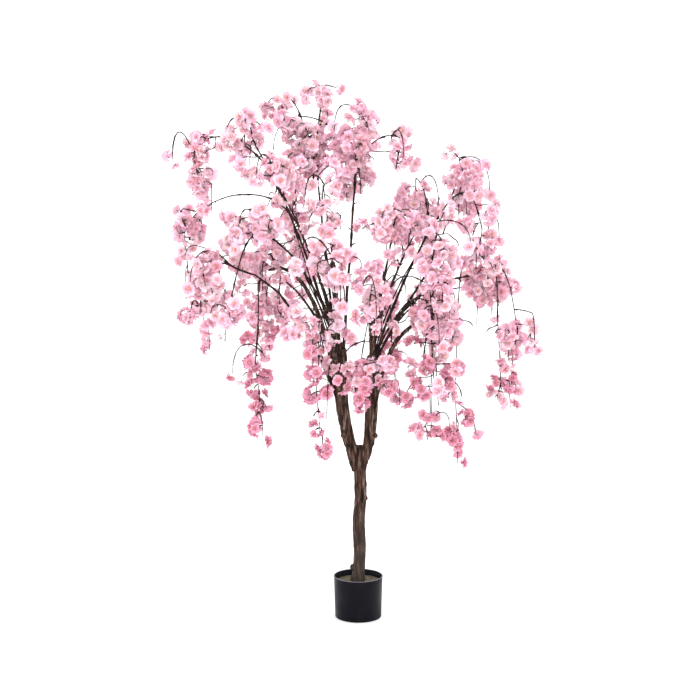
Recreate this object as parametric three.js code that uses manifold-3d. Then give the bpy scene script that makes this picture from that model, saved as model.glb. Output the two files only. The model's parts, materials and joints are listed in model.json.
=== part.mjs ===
// Artificial weeping cherry blossom tree in a plain round pot.
// Millimetres, +Z up. The origin is the centre of the pot's flat underside, +X is right and -Y is the front.
// The trunk forks into two boughs, each bough carries a fan of thin limbs, and the limbs carry the blossom.

import * as THREE from "three";
import { mergeVertices } from "three/addons/utils/BufferGeometryUtils.js";
import Module from "manifold-3d";

const wasm = await Module();
wasm.setup();

const UP = new THREE.Vector3(0, 0, 1);
const GAP = 0.4; // clearance between pieces that touch
const OVERRUN = 12; // how far a limb runs past a flat cut before it is trimmed

// Pot
const POT_HEIGHT = 140;
const POT_FOOT_RADIUS = 78.5;
const POT_RIM_RADIUS = 84;
const POT_WALL = 3;
const LIP_HEIGHT = 7;
const LIP_DEPTH = 1.5;
const POT_SEGMENTS = 32;

// Fill in the pot, flat where the trunk stands and uneven round it
const FILL_DROP = 22; // below the rim
const FILL_LUMP = 3;
const FILL_SEAT_RADIUS = 42;
const FILL_SEGMENTS = 24;

// Trunk
const TRUNK_RADIUS = 20;
const FLARE = 11; // added to the radius at the foot
const FLARE_HEIGHT = 26;
const FLARE_LUMP_RADIUS = 12;
const FORK_START = 500;
const FORK_BEND = 545;
const FORK_HEIGHT = 585;
const TRUNK_SIDES = 10;
const TRUNK_STEPS = 10;
const FORK_STEPS = 3;
const BOUGH_SIDES = 8;
const BOUGH_STEPS = 5;
const KNOB_RADIUS = 9;
const KNOB_SHARE = 0.15; // share of the way up a bough where its knob sits

// Limbs
const LIMB_SIDES = 6;
const LIMB_STEPS = 6;
const LIMB_TIP_RADIUS = 2.6;
const BOW_ENDS = 0.3; // share of a limb's length at each end over which it bends
const LOW_LIMB_START = 0.3; // share of the way up a bough where its lowest side limb leaves it
const LOW_LIMB_STEP = 0.25;
const LIMB_LIFT = 1; // how far above a bough's top its limbs start

// Blossom
const LUMP = 0.2; // unevenness of a mass, as a share of its radius
const SLENDER = 1.9; // a mass this many times as tall as it is wide tapers downwards
const HANG_TAPER = 0.28; // narrowing of such a mass from its middle to its lower end
const WAVES_ACROSS = 4; // radians of unevenness over a mass's radius
const WAVES_UP = 5.3;
const SMALL_MASS = 116; // a mass no wider than this has fewer faces
const MASS_CLEARANCE = 1.014; // growth of a mass where it cuts a neighbour

// Middles of the trunk's bends, with heights above the fill.
const trunkRoute = [[-2, 0, -20], [0, 0, 20], [5, 2, 110], [2, -2, 210], [8, 0, 285], [3, 2, 412]];
const trunkKnob = [24, -4, 406];
const flareLump = [-17, -4, 168];

// bend is how far right of the trunk a bough is drawn halfway up, and knob the bearing of its cut side shoot.
const boughs = {
  left: { name: "bough_left", foot: [-25, -2], bend: -68, top: [-62, -14, 900], radius: [19, 21], knob: 235 },
  right: { name: "bough_right", foot: [34, 4], bend: 50, top: [46, 6, 875], radius: [18.5, 20], knob: 330 },
};

// turn is the bearing round the trunk in degrees: 0 right, 90 back, 180 left, 270 front.
// out is the distance from the pot's axis and mid the height of a mass's middle. A mass is as deep as it is
// wide unless deep is given.
const masses = [
  { name: "blossom_peak", turn: 180, out: 108, mid: 1767, wide: 122, tall: 66 },
  { name: "blossom_top_right", turn: 270, out: 110, mid: 1592, wide: 152, tall: 250 },
  { name: "blossom_top_left", turn: 192, out: 150, mid: 1573, wide: 205, deep: 160, tall: 222 },
  { name: "blossom_top_back", turn: 92, out: 220, mid: 1535, wide: 180, tall: 220 },
  { name: "blossom_high_tuft", turn: 179, out: 252, mid: 1706, wide: 78, tall: 72 },
  { name: "blossom_high_left", turn: 200, out: 376, mid: 1606, wide: 120, tall: 104 },
  { name: "blossom_shoulder_left", turn: 187, out: 518, mid: 1518, wide: 128, tall: 230 },
  { name: "blossom_upper_left", turn: 222, out: 364, mid: 1458, wide: 200, deep: 160, tall: 122 },
  { name: "blossom_upper_back", turn: 128, out: 376, mid: 1365, wide: 146, tall: 204 },
  { name: "blossom_inner_front", turn: 252, out: 345, mid: 1362, wide: 130, tall: 190 },
  { name: "blossom_edge_left", turn: 172, out: 578, mid: 1272, wide: 124, tall: 256 },
  { name: "blossom_mid_left", turn: 223, out: 436, mid: 1290, wide: 158, tall: 112 },
  { name: "blossom_band_left", turn: 200, out: 496, mid: 1160, wide: 178, tall: 158 },
  { name: "blossom_band_back", turn: 150, out: 364, mid: 1178, wide: 214, deep: 180, tall: 184 },
  { name: "blossom_far_back_left", turn: 114, out: 500, mid: 1205, wide: 136, tall: 180 },
  { name: "blossom_tuft_left", turn: 191, out: 517, mid: 1034, wide: 74, tall: 90 },
  { name: "blossom_tuft_front_left", turn: 219, out: 504, mid: 1028, wide: 82, tall: 84 },
  { name: "blossom_low_back_left", turn: 132, out: 512, mid: 1014, wide: 160, tall: 178 },
  { name: "blossom_drop_left", turn: 210, out: 376, mid: 822, wide: 112, tall: 244 },
  { name: "blossom_low_front_left", turn: 250, out: 350, mid: 972, wide: 158, tall: 134 },
  { name: "blossom_drop_front", turn: 249, out: 354, mid: 768, wide: 80, tall: 244 },
  { name: "blossom_low_front", turn: 272, out: 300, mid: 858, wide: 160, tall: 150 },
  { name: "blossom_front_left", turn: 259, out: 438, mid: 1178, wide: 146, tall: 180 },
  { name: "blossom_front", turn: 275, out: 420, mid: 1058, wide: 116, tall: 210 },
  { name: "blossom_far_back", turn: 78, out: 480, mid: 1065, wide: 150, tall: 210 },
  { name: "blossom_inner_right", turn: 294, out: 274, mid: 1300, wide: 164, tall: 130 },
  { name: "blossom_upper_right", turn: 31, out: 232, mid: 1434, wide: 132, tall: 180 },
  { name: "blossom_high_right", turn: 335, out: 142, mid: 1562, wide: 76, tall: 150 },
  { name: "blossom_shoulder_right", turn: 0, out: 340, mid: 1456, wide: 132, deep: 180, tall: 196 },
  { name: "blossom_back_right", turn: 56, out: 410, mid: 1340, wide: 165, tall: 190 },
  { name: "blossom_edge_right", turn: 343, out: 410, mid: 1276, wide: 112, tall: 166 },
  { name: "blossom_front_right", turn: 306, out: 406, mid: 1204, wide: 150, tall: 232 },
  { name: "blossom_band_right", turn: 11, out: 456, mid: 1132, wide: 166, deep: 220, tall: 184 },
  { name: "blossom_low_back_right", turn: 52, out: 470, mid: 1040, wide: 190, tall: 226 },
  { name: "blossom_far_right", turn: 354, out: 524, mid: 954, wide: 150, deep: 190, tall: 140 },
  { name: "blossom_drop_right", turn: 2, out: 482, mid: 778, wide: 110, deep: 130, tall: 98 },
  { name: "blossom_low_right", turn: 314, out: 328, mid: 994, wide: 206, tall: 172 },
  { name: "blossom_low_back", turn: 62, out: 262, mid: 838, wide: 126, tall: 180 },
  { name: "blossom_drop_front_right", turn: 312, out: 345, mid: 812, wide: 144, tall: 156 },
  { name: "blossom_hem_front", turn: 316, out: 317, mid: 684, wide: 80, tall: 90 },
  { name: "blossom_hem_right", turn: 338, out: 342, mid: 664, wide: 92, tall: 92 },
];

// Each limb leaves a bough's top, or its side where low is set, and ends where it enters a mass.
// bow is the rise of the limb above its chord, as a share of the chord's length.
const limbs = [
  { name: "limb_outer_left", bough: "left", enters: "blossom_band_left", radius: 6.5, bow: 0.36, low: true },
  { name: "limb_mid_left", bough: "left", enters: "blossom_mid_left", radius: 6.5, bow: 0.2 },
  { name: "limb_high_left", bough: "left", enters: "blossom_high_left", radius: 5.5, bow: 0.12 },
  { name: "limb_upper_left", bough: "left", enters: "blossom_upper_left", radius: 5.5, bow: 0.14 },
  { name: "limb_top_left", bough: "left", enters: "blossom_top_left", radius: 5.5, bow: 0.04 },
  { name: "limb_top", bough: "left", enters: "blossom_top_right", radius: 6, bow: 0.04 },
  { name: "limb_front_left", bough: "left", enters: "blossom_front_left", radius: 6, bow: 0.16, low: true },
  { name: "limb_back_left", bough: "left", enters: "blossom_band_back", radius: 5.5, bow: 0.14 },
  { name: "limb_upper_back", bough: "left", enters: "blossom_upper_back", radius: 5.5, bow: 0.1 },
  { name: "limb_inner_right", bough: "right", enters: "blossom_inner_right", radius: 5.5, bow: 0.14 },
  { name: "limb_shoulder_right", bough: "right", enters: "blossom_shoulder_right", radius: 6, bow: 0.12 },
  { name: "limb_front_right", bough: "right", enters: "blossom_front_right", radius: 6, bow: 0.04 },
  { name: "limb_outer_right", bough: "right", enters: "blossom_band_right", radius: 7.5, bow: 0.3 },
  { name: "limb_back_right", bough: "right", enters: "blossom_back_right", radius: 6, bow: 0.12 },
];

const potMaterial = new THREE.MeshStandardMaterial({ color: 0x201e22, roughness: 0.45, metalness: 0 });
const fillMaterial = new THREE.MeshStandardMaterial({ color: 0x6a6456, roughness: 0.95, metalness: 0 });
const barkMaterial = new THREE.MeshStandardMaterial({ color: 0x4b382d, roughness: 0.85, metalness: 0 });
const limbMaterial = new THREE.MeshStandardMaterial({ color: 0x40342d, roughness: 0.85, metalness: 0 });
const petalMaterial = new THREE.MeshStandardMaterial({ color: 0xf7b6c4, roughness: 0.8, metalness: 0 });

function toSolid(geometry) {
  geometry.deleteAttribute("normal");
  geometry.deleteAttribute("uv");
  const merged = mergeVertices(geometry, 1e-3);
  return new wasm.Manifold(new wasm.Mesh({
    numProp: 3,
    vertProperties: new Float32Array(merged.attributes.position.array),
    triVerts: new Uint32Array(merged.index.array),
  }));
}

function toMesh(name, solid, material) {
  const { vertProperties, triVerts } = solid.getMesh();
  const geometry = new THREE.BufferGeometry();
  geometry.setAttribute("position", new THREE.BufferAttribute(vertProperties, 3));
  geometry.setIndex(new THREE.BufferAttribute(triVerts, 1));
  geometry.computeVertexNormals();
  const mesh = new THREE.Mesh(geometry, material.clone());
  mesh.name = name;
  return mesh;
}

// Takes the neighbours out of a solid and keeps its largest piece.
function cutRound(solid, neighbours) {
  const touching = neighbours.filter((other) => !solid.intersect(other).isEmpty());
  const cut = touching.reduce((rest, other) => rest.subtract(other), solid);
  return cut.decompose().sort((a, b) => b.volume() - a.volume())[0];
}

// Bends a cylinder along a curve, with a radius that changes from its foot to its tip.
function taperedLimb(curve, radiusAt, sides, steps) {
  const geometry = new THREE.CylinderGeometry(1, 1, 1, sides, steps);
  const frames = curve.computeFrenetFrames(steps);
  const position = geometry.attributes.position;
  const vertex = new THREE.Vector3();
  for (let i = 0; i < position.count; i += 1) {
    vertex.fromBufferAttribute(position, i);
    const share = vertex.y + 0.5;
    const step = Math.round(share * steps);
    const radius = radiusAt(share);
    const point = curve.getPointAt(share);
    point.addScaledVector(frames.binormals[step], vertex.x * radius);
    point.addScaledVector(frames.normals[step], vertex.z * radius);
    position.setXYZ(i, point.x, point.y, point.z);
  }
  return toSolid(geometry);
}

function knob(place, radius) {
  const geometry = new THREE.IcosahedronGeometry(radius, 1);
  geometry.translate(...place);
  return toSolid(geometry);
}

function revolve(profile, segments) {
  const points = profile.map(([radius, height]) => new THREE.Vector2(radius, height));
  const geometry = new THREE.LatheGeometry(points, segments);
  geometry.rotateX(Math.PI / 2);
  return geometry;
}

function potRadiusAt(height) {
  return THREE.MathUtils.lerp(POT_FOOT_RADIUS, POT_RIM_RADIUS - LIP_DEPTH, height / POT_HEIGHT);
}

function potSolid() {
  const lipFoot = POT_HEIGHT - LIP_HEIGHT;
  return toSolid(revolve([
    [0, 0],
    [POT_FOOT_RADIUS, 0],
    [potRadiusAt(lipFoot), lipFoot],
    [POT_RIM_RADIUS, lipFoot + LIP_DEPTH],
    [POT_RIM_RADIUS, POT_HEIGHT],
    [potRadiusAt(POT_HEIGHT) - POT_WALL, POT_HEIGHT],
    [potRadiusAt(POT_WALL) - POT_WALL, POT_WALL],
    [0, POT_WALL],
  ], POT_SEGMENTS));
}

function fillSolid() {
  const floor = POT_WALL + GAP;
  const top = POT_HEIGHT - FILL_DROP;
  const clear = POT_WALL + 2 * GAP;
  const geometry = revolve([
    [0, floor],
    [potRadiusAt(floor) - clear, floor],
    [potRadiusAt(top) - clear, top],
    [(FILL_SEAT_RADIUS + potRadiusAt(top)) / 2, top],
    [FILL_SEAT_RADIUS, top],
    [0, top],
  ], FILL_SEGMENTS);
  const position = geometry.attributes.position;
  for (let i = 0; i < position.count; i += 1) {
    const x = position.getX(i);
    const y = position.getY(i);
    const pastSeat = Math.hypot(x, y) - FILL_SEAT_RADIUS;
    if (position.getZ(i) > floor + 1 && pastSeat > 1) {
      const bearing = Math.atan2(y, x);
      const lump = Math.sin(3 * bearing + 1) + 0.6 * Math.sin(7 * bearing + pastSeat);
      position.setZ(i, top + FILL_LUMP * lump);
    }
  }
  return toSolid(geometry);
}

// The stem leans a little right, then left, and widens again where it forks.
function trunkSolid() {
  const foot = POT_HEIGHT - FILL_DROP + GAP;
  const bends = trunkRoute.map(([x, y, rise]) => new THREE.Vector3(x, y, foot + rise));
  const route = new THREE.CatmullRomCurve3(bends);
  const length = route.getLength();
  const radiusAt = (share) => TRUNK_RADIUS + FLARE * Math.exp(-share * length / FLARE_HEIGHT);
  const stem = taperedLimb(route, radiusAt, TRUNK_SIDES, TRUNK_STEPS);
  const arms = Object.values(boughs).map(forkArm);
  const knobs = [knob(trunkKnob, KNOB_RADIUS), knob(flareLump, FLARE_LUMP_RADIUS)];
  return [...arms, ...knobs].reduce((whole, piece) => whole.add(piece), stem).trimByPlane([0, 0, 1], foot);
}

// An arm of the fork, cut off flat where its bough carries on.
function forkArm(bough) {
  const [x, y] = bough.foot;
  const route = new THREE.QuadraticBezierCurve3(
    new THREE.Vector3(x / 8, 0, FORK_START),
    new THREE.Vector3(x * 0.6, y, FORK_BEND),
    new THREE.Vector3(x, y, FORK_HEIGHT + OVERRUN),
  );
  const radiusAt = (share) => THREE.MathUtils.lerp(TRUNK_RADIUS, bough.radius[0], share);
  return taperedLimb(route, radiusAt, BOUGH_SIDES, FORK_STEPS).trimByPlane([0, 0, -1], -FORK_HEIGHT);
}

function boughCurve(bough) {
  const foot = new THREE.Vector3(...bough.foot, FORK_HEIGHT - OVERRUN);
  const top = new THREE.Vector3(...bough.top);
  const middle = foot.clone().lerp(top, 0.5).setX(bough.bend);
  return new THREE.QuadraticBezierCurve3(foot, middle, top);
}

// extra makes the bough thicker, to cut its neighbours.
function boughSolid(bough, extra = 0) {
  const curve = boughCurve(bough);
  const radiusAt = (share) => THREE.MathUtils.lerp(...bough.radius, share) + extra;
  const stem = taperedLimb(curve, radiusAt, BOUGH_SIDES, BOUGH_STEPS);
  const side = THREE.MathUtils.degToRad(bough.knob);
  const place = curve.getPointAt(KNOB_SHARE);
  place.x += Math.cos(side) * bough.radius[0];
  place.y += Math.sin(side) * bough.radius[0];
  return stem.add(knob(place, KNOB_RADIUS + extra)).trimByPlane([0, 0, 1], FORK_HEIGHT + GAP);
}

function massCentre(mass) {
  const bearing = THREE.MathUtils.degToRad(mass.turn);
  return new THREE.Vector3(Math.cos(bearing) * mass.out, Math.sin(bearing) * mass.out, mass.mid);
}

// A lumpy ball, drawn in towards its lower end where it hangs, and sized to its named width and height.
function massSolid(mass, index) {
  const slender = mass.tall > SLENDER * mass.wide;
  const geometry = new THREE.IcosahedronGeometry(1, mass.wide > SMALL_MASS ? 2 : 1);
  const position = geometry.attributes.position;
  const point = new THREE.Vector3();
  for (let i = 0; i < position.count; i += 1) {
    point.fromBufferAttribute(position, i);
    const wave = Math.sin(WAVES_ACROSS * point.x + 2 * index) * Math.cos(WAVES_ACROSS * point.y + index);
    const ripple = Math.sin(WAVES_UP * point.z + 3 * index + 2 * point.x);
    const swell = 1 + LUMP * (wave + 0.5 * ripple);
    const taper = 1 + (slender ? HANG_TAPER : HANG_TAPER / 2) * point.z;
    position.setXYZ(i, point.x * swell * taper, point.y * swell * taper, point.z * swell);
  }
  geometry.computeBoundingBox();
  const centre = geometry.boundingBox.getCenter(new THREE.Vector3());
  const size = geometry.boundingBox.getSize(new THREE.Vector3());
  geometry.translate(-centre.x, -centre.y, -centre.z);
  geometry.scale(mass.wide / size.x, (mass.deep ?? mass.wide) / size.y, mass.tall / size.z);
  return toSolid(geometry);
}

// Limbs of one bough stand in a ring on its top, in the order of their bearings, so that few of them cross.
function limbFeet() {
  for (const [side, bough] of Object.entries(boughs)) {
    const curve = boughCurve(bough);
    const bearingOf = (limb) => {
      const to = massCentre(massByName(limb.enters)).sub(curve.getPointAt(1));
      return Math.atan2(to.y, to.x);
    };
    const own = limbs.filter((limb) => limb.bough === side);
    const onTop = own.filter((limb) => !limb.low).sort((a, b) => bearingOf(a) - bearingOf(b));
    onTop.forEach((limb, slot) => {
      const angle = bearingOf(onTop[0]) + slot * 2 * Math.PI / onTop.length;
      const ring = bough.radius[1] - limb.radius;
      const offset = new THREE.Vector3(Math.cos(angle) * ring, Math.sin(angle) * ring, LIMB_LIFT);
      limb.foot = curve.getPointAt(1).add(offset);
    });
    own.filter((limb) => limb.low).forEach((limb, slot) => {
      limb.foot = curve.getPointAt(LOW_LIMB_START + LOW_LIMB_STEP * slot);
    });
  }
}

function massByName(name) {
  return masses.find((mass) => mass.name === name);
}

function limbSolid(limb, extra = 0) {
  const end = massCentre(massByName(limb.enters));
  const rise = limb.foot.distanceTo(end) * limb.bow;
  const near = limb.foot.clone().lerp(end, BOW_ENDS).addScaledVector(UP, rise);
  const far = limb.foot.clone().lerp(end, 1 - BOW_ENDS).addScaledVector(UP, rise);
  const curve = new THREE.CubicBezierCurve3(limb.foot, near, far, end);
  const radiusAt = (share) => THREE.MathUtils.lerp(limb.radius, LIMB_TIP_RADIUS, share) + extra;
  return taperedLimb(curve, radiusAt, LIMB_SIDES, LIMB_STEPS);
}

function placed(solid, centre, growth = 1) {
  return solid.scale(growth).translate(centre.toArray());
}

limbFeet();

const group = new THREE.Group();
group.add(toMesh("pot", potSolid(), potMaterial));
group.add(toMesh("pot_fill", fillSolid(), fillMaterial));
group.add(toMesh("trunk", trunkSolid(), barkMaterial));
for (const bough of Object.values(boughs)) {
  group.add(toMesh(bough.name, boughSolid(bough), barkMaterial));
}

const grownBoughs = Object.values(boughs).map((bough) => boughSolid(bough, GAP));
const shapes = masses.map((mass, index) => massSolid(mass, index));
const grownLimbs = [];
for (const limb of limbs) {
  const target = masses.findIndex((mass) => mass.name === limb.enters);
  const grownTarget = placed(shapes[target], massCentre(masses[target]), MASS_CLEARANCE);
  const others = grownLimbs.map((other) => other.solid);
  const solid = cutRound(limbSolid(limb), [...grownBoughs, grownTarget, ...others]);
  group.add(toMesh(limb.name, solid, limbMaterial));
  grownLimbs.push({ target, solid: limbSolid(limb, GAP) });
}

const grownMasses = [];
masses.forEach((mass, index) => {
  const centre = massCentre(mass);
  const passing = grownLimbs.filter((limb) => limb.target !== index).map((limb) => limb.solid);
  const solid = cutRound(placed(shapes[index], centre), [...passing, ...grownMasses]);
  group.add(toMesh(mass.name, solid, petalMaterial));
  grownMasses.push(placed(shapes[index], centre, MASS_CLEARANCE));
});

export default group;
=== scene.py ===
import json
import math
import random

import bmesh
import bpy
from mathutils import Matrix, Vector, noise
from mathutils.bvhtree import BVHTree

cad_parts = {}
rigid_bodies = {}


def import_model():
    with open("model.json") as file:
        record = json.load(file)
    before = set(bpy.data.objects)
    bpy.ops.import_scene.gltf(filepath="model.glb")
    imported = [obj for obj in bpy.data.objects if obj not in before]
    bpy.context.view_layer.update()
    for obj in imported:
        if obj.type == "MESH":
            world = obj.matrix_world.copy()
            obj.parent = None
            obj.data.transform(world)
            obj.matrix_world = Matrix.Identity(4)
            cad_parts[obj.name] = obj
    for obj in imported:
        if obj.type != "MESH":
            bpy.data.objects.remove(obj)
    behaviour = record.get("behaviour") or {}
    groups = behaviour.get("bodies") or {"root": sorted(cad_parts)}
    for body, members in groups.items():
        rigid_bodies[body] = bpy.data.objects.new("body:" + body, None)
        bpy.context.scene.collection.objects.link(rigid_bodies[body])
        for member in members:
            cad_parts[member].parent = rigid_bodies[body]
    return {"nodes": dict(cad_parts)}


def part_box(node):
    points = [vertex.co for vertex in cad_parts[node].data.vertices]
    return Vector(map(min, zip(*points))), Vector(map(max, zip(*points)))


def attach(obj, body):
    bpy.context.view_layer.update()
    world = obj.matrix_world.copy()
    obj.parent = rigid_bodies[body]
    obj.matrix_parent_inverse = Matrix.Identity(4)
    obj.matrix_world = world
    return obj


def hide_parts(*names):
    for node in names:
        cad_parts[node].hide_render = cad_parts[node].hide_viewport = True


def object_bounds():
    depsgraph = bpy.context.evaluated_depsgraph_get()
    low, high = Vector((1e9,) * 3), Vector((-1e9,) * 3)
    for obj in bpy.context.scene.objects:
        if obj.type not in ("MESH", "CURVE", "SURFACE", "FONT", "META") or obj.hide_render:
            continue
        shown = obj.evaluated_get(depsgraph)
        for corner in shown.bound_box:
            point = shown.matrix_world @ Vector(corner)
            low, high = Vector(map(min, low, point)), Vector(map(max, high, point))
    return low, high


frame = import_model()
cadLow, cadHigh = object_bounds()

# Artificial weeping cherry tree in a pot. Metres, +Z up, the front is -Y.
# Trunk, boughs and limbs follow the frame's own solids. Twigs grow on from the limbs into each blossom mass.

up = Vector((0, 0, 1))
eye = Vector((-0.028, -3.4, 1.10))        # where the front view is taken from
rng = random.Random(20)
sharpestTurn = math.radians(80)        # a tube that turns more than this at one point has folded back


def addMesh(name, bm, materials):
    mesh = bpy.data.meshes.new(name)
    bm.to_mesh(mesh)
    bm.free()
    for material in materials:
        mesh.materials.append(material)
    obj = bpy.data.objects.new(name, mesh)
    bpy.context.collection.objects.link(obj)
    return obj


def settle(obj):
    # turns a curve or a mesh with modifiers into a plain finished mesh at the origin
    evaluated = obj.evaluated_get(bpy.context.evaluated_depsgraph_get())
    mesh = bpy.data.meshes.new_from_object(evaluated)
    done = bpy.data.objects.new(obj.name + "_done", mesh)
    bpy.context.collection.objects.link(done)
    name = obj.name
    bpy.data.objects.remove(obj)
    done.name = name
    return done


def unfolded(points, radii):
    # leaves out the points where a run folds back on itself, as a tube would stand out in a spike there
    points, radii = list(points), list(radii)
    i = 1
    while i < len(points) - 1:
        before = points[i] - points[i - 1]
        after = points[i + 1] - points[i]
        if before.length > 1e-5 and after.length > 1e-5 and before.angle(after) < sharpestTurn:
            i += 1
        else:
            del points[i]
            del radii[i]
            i = max(1, i - 1)
    return points, radii


def tubes(name, runs, sides=0):
    # one curve with a spline for each run of (points, radii)
    curve = bpy.data.curves.new(name, "CURVE")
    curve.dimensions = "3D"
    curve.bevel_depth = 1.0
    curve.bevel_resolution = sides
    curve.use_fill_caps = True
    for points, radii in [unfolded(*run) for run in runs]:
        spline = curve.splines.new("POLY")
        spline.points.add(len(points) - 1)
        for slot, point, radius in zip(spline.points, points, radii):
            slot.co = (*point, 1.0)
            slot.radius = radius
    obj = bpy.data.objects.new(name, curve)
    bpy.context.collection.objects.link(obj)
    return settle(obj)


def bezier(a, b, c, d, count):
    points = []
    for i in range(count + 1):
        t = i / count
        s = 1 - t
        points.append(a * s ** 3 + b * 3 * s * s * t + c * 3 * s * t * t + d * t ** 3)
    return points


def thinning(count, first, last):
    return [first + (last - first) * i / count for i in range(count)]


def randomUnit():
    z = rng.uniform(-1, 1)
    turn = rng.uniform(0, math.tau)
    flat = math.sqrt(1 - z * z)
    return Vector((flat * math.cos(turn), flat * math.sin(turn), z))


def drift(point):
    # a smooth wander in all three directions, the same on each run
    return Vector([noise.noise(point + Vector((shift, shift * 0.7, -shift))) for shift in (9.3, -17.1, 31.7)])


def sideways():
    turn = rng.uniform(0, math.tau)
    return Vector((math.cos(turn), math.sin(turn), 0))


def section(mesh, origin, normal):
    # middle and half width of the solid where a plane cuts it
    hits = []
    for edge in mesh.edges:
        a = mesh.vertices[edge.vertices[0]].co
        b = mesh.vertices[edge.vertices[1]].co
        da = (a - origin).dot(normal)
        db = (b - origin).dot(normal)
        if (da < 0) != (db < 0):
            hits.append(a.lerp(b, da / (da - db)))
    if len(hits) < 3:
        return None
    middle = sum(hits, Vector()) / len(hits)
    return middle, min((p - middle).length for p in hits)


def centreLine(node, count):
    # follows a limb from its foot, which is its lowest end, to the point farthest from it
    mesh = frame["nodes"][node].data
    spots = sorted((v.co.copy() for v in mesh.vertices), key=lambda p: tuple(p))
    lowest = min(p.z for p in spots)
    low = [p for p in spots if p.z < lowest + 0.006]
    foot = sum(low, Vector()) / len(low)
    tip = max(spots, key=lambda p: (p - foot).length)
    along = tip - foot
    line = []
    for i in range(count + 1):
        share = 0.01 + 0.98 * i / count
        cut = section(mesh, foot + along * share, along.normalized())
        if cut:
            line.append(cut)
    return [p for p, r in line], [r for p, r in line]


class Mass:
    # a blossom solid, with a test for what is inside it
    def __init__(self, node):
        obj = frame["nodes"][node]
        self.name = node
        self.place = node.removeprefix("blossom_")
        self.low, self.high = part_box(node)
        self.middle = (self.low + self.high) / 2
        self.size = self.high - self.low
        corners = [v.co.copy() for v in obj.data.vertices]
        faces = [tuple(p.vertices) for p in obj.data.polygons]
        self.tree = BVHTree.FromPolygons(corners, faces)
        bm = bmesh.new()
        bm.from_mesh(obj.data)
        self.litres = abs(bm.calc_volume()) * 1000
        bm.free()

    def depth(self, point):
        # how far inside the solid a point is, below zero outside
        near, normal, index, distance = self.tree.find_nearest(point)
        return distance if (point - near).dot(normal) < 0 else -distance


masses = {n: Mass(n) for n in sorted(frame["nodes"]) if n.startswith("blossom_")}
limbNames = [n for n in sorted(frame["nodes"]) if n.startswith("limb_")]
limbLines = {n: centreLine(n, 12) for n in limbNames}
print("frame read:", len(masses), "masses and", len(limbNames), "limbs")


def newMaterial(name, colour, roughness, **sockets):
    material = bpy.data.materials.new(name)
    material.use_nodes = True
    shader = material.node_tree.nodes["Principled BSDF"]
    shader.inputs["Base Color"].default_value = (*colour, 1)
    shader.inputs["Roughness"].default_value = roughness
    for socket, value in sockets.items():
        shader.inputs[socket.replace("_", " ")].default_value = value
    return material, material.node_tree, shader


def node(tree, kind, **inputs):
    made = tree.nodes.new(kind)
    for socket, value in inputs.items():
        made.inputs[socket.replace("_", " ")].default_value = value
    return made


def grainGroup():
    # noise on the piece's own coordinates: a mask of streaks, stretched along the height, and one of patches
    group = bpy.data.node_groups.new("stretchedGrain", "ShaderNodeTree")
    for name, value in (("Scale", 40.0), ("Stretch", 0.2), ("Detail", 6.0), ("Contrast", 1.0)):
        socket = group.interface.new_socket(name, in_out="INPUT", socket_type="NodeSocketFloat")
        socket.default_value = value
    for name in ("Streaks", "Patches"):
        group.interface.new_socket(name, in_out="OUTPUT", socket_type="NodeSocketFloat")
    given = group.nodes.new("NodeGroupInput")
    out = group.nodes.new("NodeGroupOutput")
    place = group.nodes.new("ShaderNodeTexCoord")
    squeeze = node(group, "ShaderNodeCombineXYZ", X=1, Y=1)
    scaled = group.nodes.new("ShaderNodeVectorMath")
    scaled.operation = "MULTIPLY"
    fine = group.nodes.new("ShaderNodeTexNoise")
    spread = node(group, "ShaderNodeMapRange", From_Min=0.36, From_Max=0.66)
    power = group.nodes.new("ShaderNodeMath")
    power.operation = "POWER"
    broad = node(group, "ShaderNodeTexNoise", Scale=16, Detail=3)
    patches = node(group, "ShaderNodeMapRange", From_Min=0.38, From_Max=0.62)
    for source, target in (
            (given.outputs["Stretch"], squeeze.inputs["Z"]),
            (place.outputs["Object"], scaled.inputs[0]),
            (squeeze.outputs[0], scaled.inputs[1]),
            (scaled.outputs[0], fine.inputs["Vector"]),
            (given.outputs["Scale"], fine.inputs["Scale"]),
            (given.outputs["Detail"], fine.inputs["Detail"]),
            (fine.outputs["Fac"], spread.inputs["Value"]),
            (spread.outputs["Result"], power.inputs[0]),
            (given.outputs["Contrast"], power.inputs[1]),
            (place.outputs["Object"], broad.inputs["Vector"]),
            (broad.outputs["Fac"], patches.inputs["Value"]),
            (power.outputs[0], out.inputs["Streaks"]),
            (patches.outputs["Result"], out.inputs["Patches"])):
        group.links.new(source, target)
    return group


stretchedGrain = grainGroup()


def grain(tree, **inputs):
    made = tree.nodes.new("ShaderNodeGroup")
    made.node_tree = stretchedGrain
    for socket, value in inputs.items():
        made.inputs[socket].default_value = value
    return made


def ramp(tree, source, stops):
    made = tree.nodes.new("ShaderNodeValToRGB")
    made.color_ramp.elements[0].position = stops[0][0]
    made.color_ramp.elements[0].color = (*stops[0][1], 1)
    made.color_ramp.elements[1].position = stops[-1][0]
    made.color_ramp.elements[1].color = (*stops[-1][1], 1)
    for position, colour in stops[1:-1]:
        made.color_ramp.elements.new(position).color = (*colour, 1)
    tree.links.new(source, made.inputs["Fac"])
    return made.outputs["Color"]


def blendColours(tree, factor, a, b):
    made = tree.nodes.new("ShaderNodeMix")
    made.data_type = "RGBA"
    for socket, value in ((made.inputs["Factor"], factor), (made.inputs[6], a), (made.inputs[7], b)):
        if isinstance(value, (tuple, float, int)):
            socket.default_value = (*value, 1) if isinstance(value, tuple) else value
        else:
            tree.links.new(value, socket)
    return made.outputs[2]


def ranged(tree, source, **limits):
    made = node(tree, "ShaderNodeMapRange", **limits)
    tree.links.new(source, made.inputs["Value"])
    return made.outputs["Result"]


def ownNoise(tree, **inputs):
    place = tree.nodes.new("ShaderNodeTexCoord")
    made = node(tree, "ShaderNodeTexNoise", **inputs)
    tree.links.new(place.outputs["Object"], made.inputs["Vector"])
    return made.outputs["Fac"]


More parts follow.
